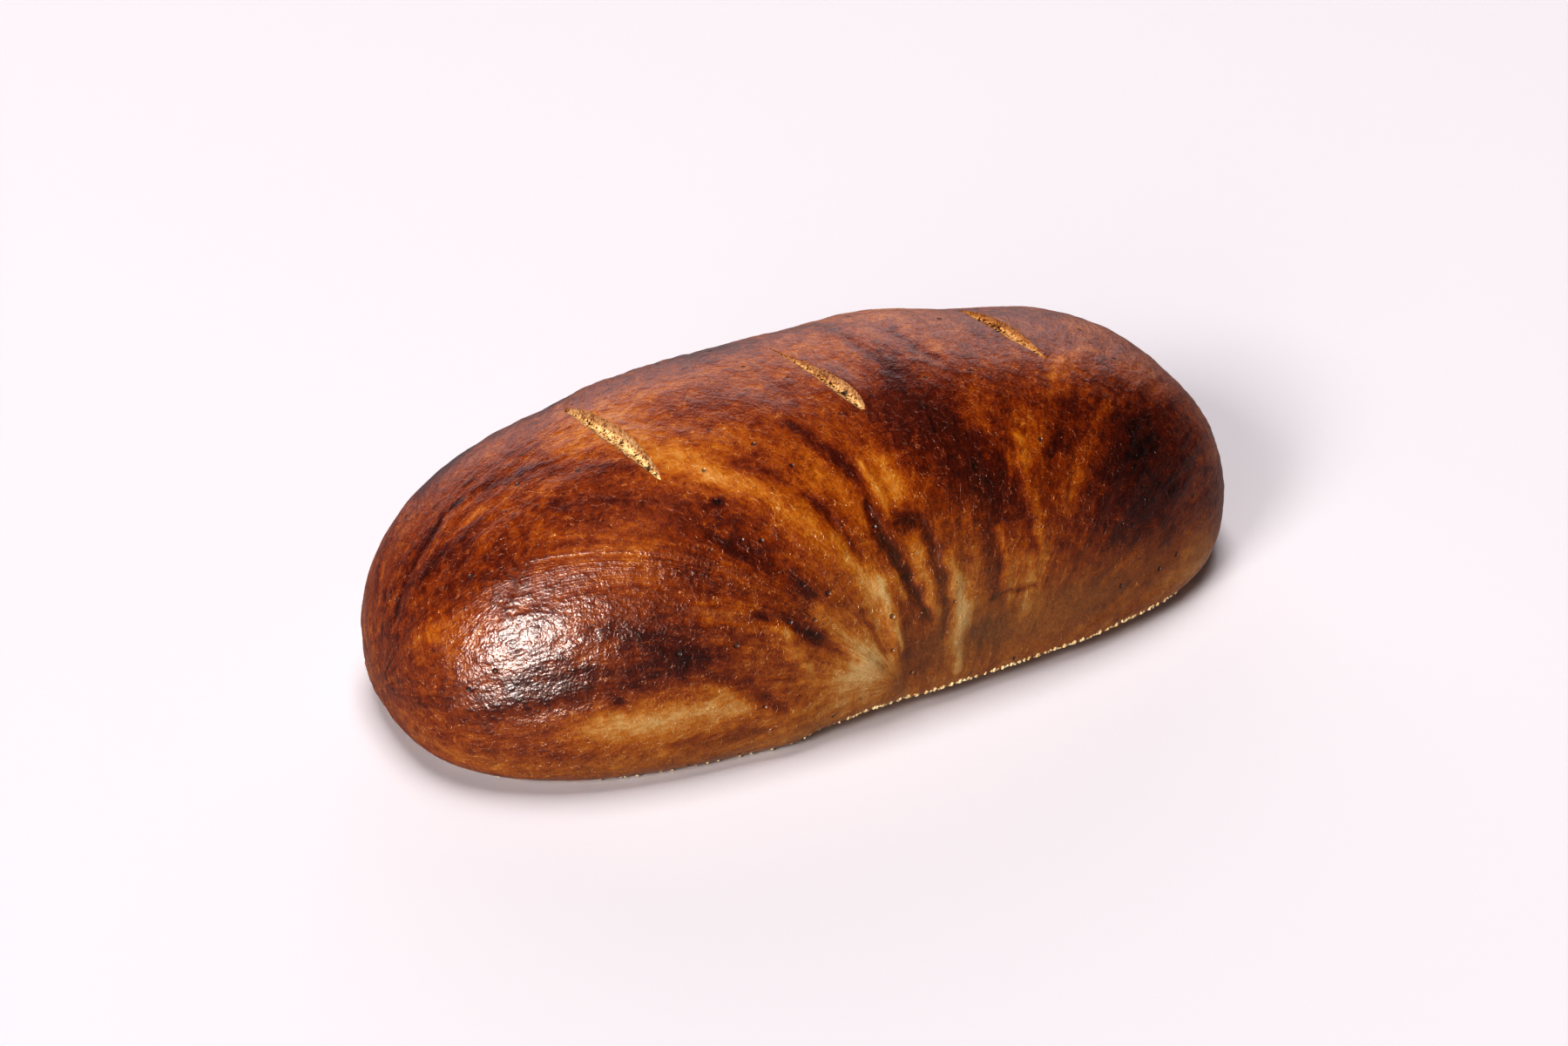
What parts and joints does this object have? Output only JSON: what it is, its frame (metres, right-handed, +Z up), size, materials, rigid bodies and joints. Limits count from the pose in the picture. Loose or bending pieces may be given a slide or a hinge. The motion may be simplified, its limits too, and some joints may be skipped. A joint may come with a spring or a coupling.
{
  "type": "oval hearth loaf",
  "caption": "Whole oval hearth loaf with a domed, glossy brown crust, oblique slashes across its crown and a flat base.",
  "frame": {"origin": "middle of the flat base, on the surface the loaf stands on", "axes": "+X along the loaf's length, +Y across it away from the side with the pinched folds, +Z up through the crown"},
  "size_m": [0.3002, 0.1422, 0.0918],
  "materials": {
    "crust": "well-baked crust, mottled dark maroon to orange-gold, brushed to a gloss",
    "crumb": "pale tan porous crumb baked dry in the open slashes",
    "meal": "pale yellow meal from the peel, stuck to the rim of the base"
  },
  "bodies": {
    "root": {"loaf": "crust"}
  },
  "joints": []
}
